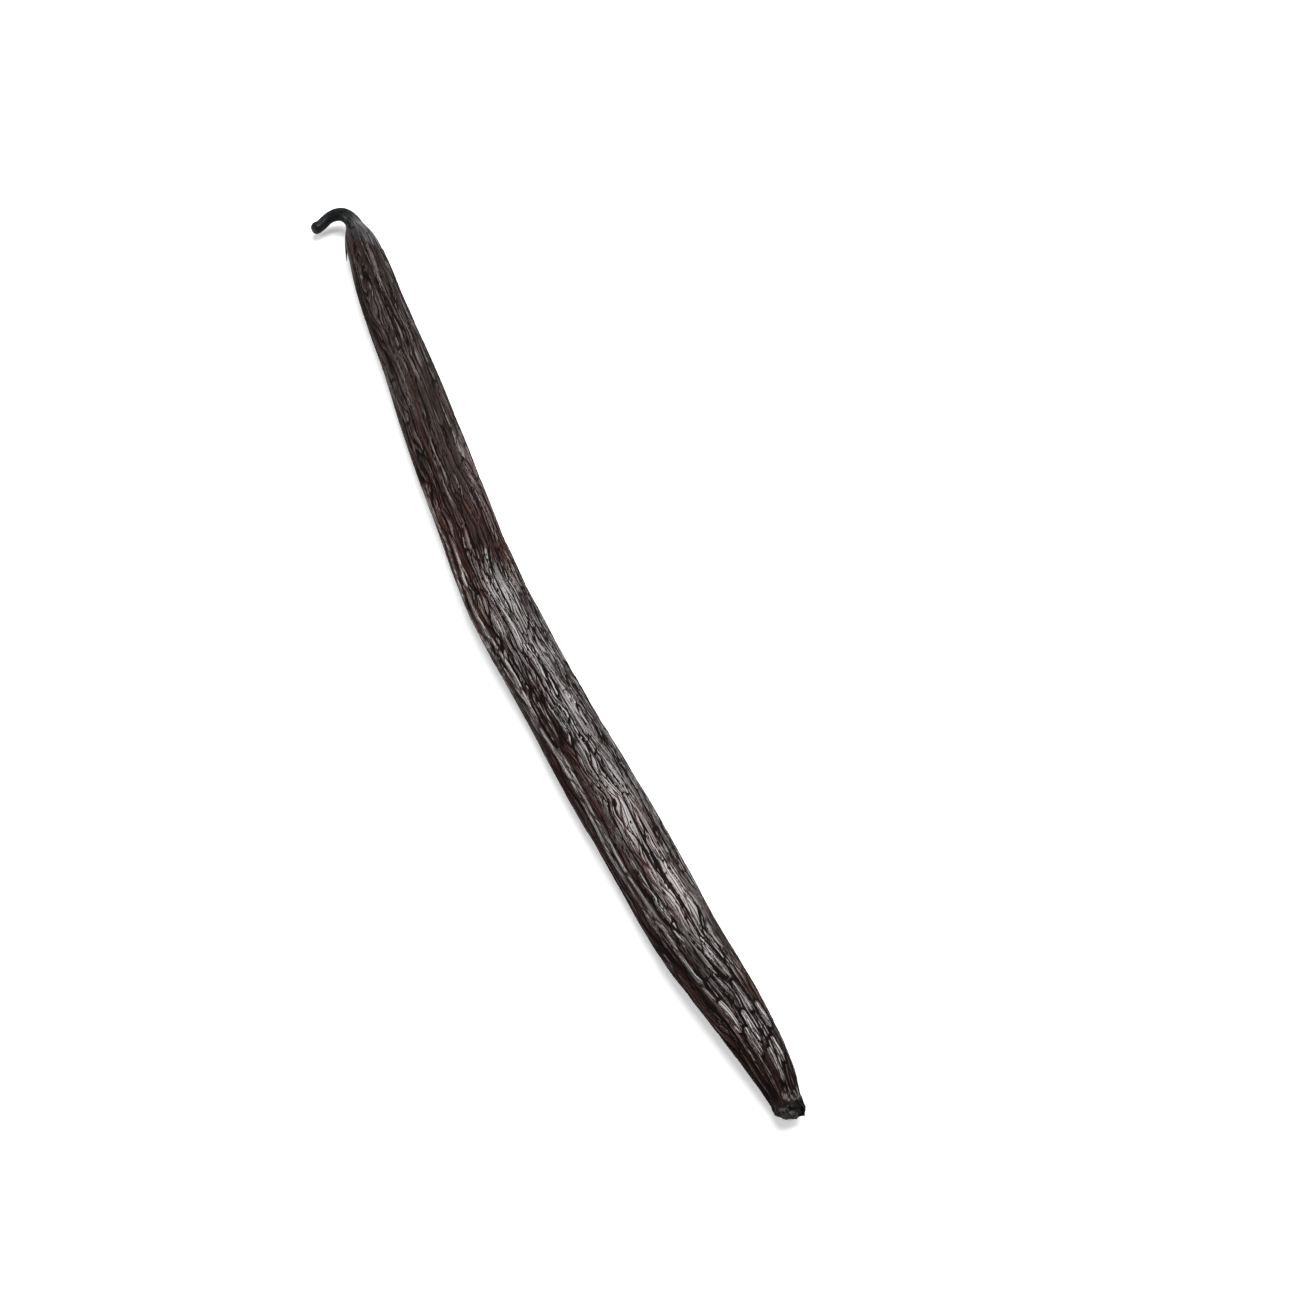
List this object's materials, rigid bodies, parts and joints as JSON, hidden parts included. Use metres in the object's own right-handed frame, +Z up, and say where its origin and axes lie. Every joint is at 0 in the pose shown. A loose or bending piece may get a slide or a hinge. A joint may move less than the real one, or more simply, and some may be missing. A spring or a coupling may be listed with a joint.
{
  "type": "vanilla pod",
  "caption": "Whole cured vanilla pod lying on its side: a long, bowed, wrinkled body with a thin hooked stem and a puckered blossom end.",
  "frame": {"origin": "middle of the pod's footprint, on the surface it rests on", "axes": "+X along the pod from the hooked stem to the blossom end, +Y across it, away from the side that the stem hooks to, +Z up"},
  "size_m": [0.1754, 0.014, 0.0057],
  "materials": {
    "pod_skin": "oily wrinkled skin, very dark brown"
  },
  "bodies": {
    "root": {"vanilla_pod": "pod_skin"}
  },
  "joints": []
}
